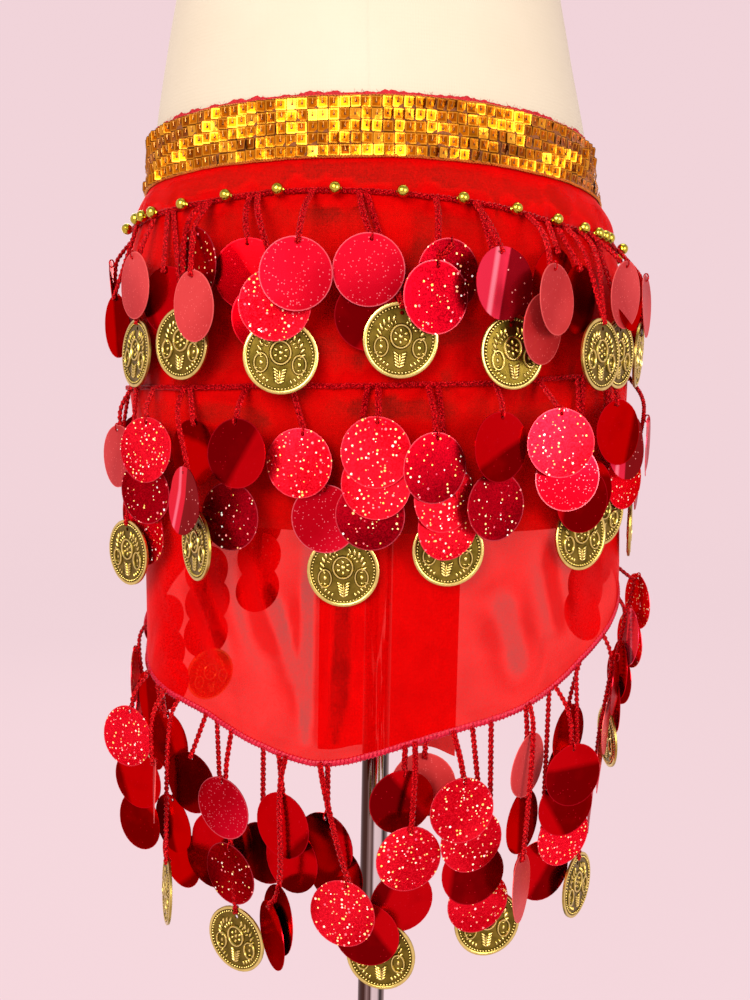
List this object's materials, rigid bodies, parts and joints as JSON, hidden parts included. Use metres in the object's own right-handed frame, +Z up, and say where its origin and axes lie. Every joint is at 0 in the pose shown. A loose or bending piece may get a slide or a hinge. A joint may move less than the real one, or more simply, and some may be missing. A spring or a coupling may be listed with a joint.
{
  "type": "dance scarf on dress form",
  "caption": "Sheer red hip scarf with a gold sequin band and rows of paillette and coin fringe, tied on a limbless cream dress form on a round-based stand.",
  "frame": {"origin": "centre of the base's underside, on the floor", "axes": "+Z up, the front of the scarf faces -Y, +X is to the right seen from the front"},
  "size_m": [0.3783, 0.36, 1.5],
  "materials": {
    "stand_metal": "polished",
    "form_cloth": "cotton jersey, matt",
    "chiffon": "sheer, soft sheen",
    "sequins": "metallised, gold",
    "fringe": "metallised red paillettes and antique gold coins on crochet"
  },
  "bodies": {
    "root": {"base_plate": "stand_metal", "pole": "stand_metal", "form_body": "form_cloth", "scarf_body": "chiffon", "sequin_band": "sequins", "fringe_top": "fringe", "fringe_middle": "fringe", "fringe_hem": "fringe", "tie_left": "chiffon", "tie_right": "chiffon", "tie_knot": "chiffon", "tail_left": "chiffon", "tail_right": "chiffon"}
  },
  "joints": []
}
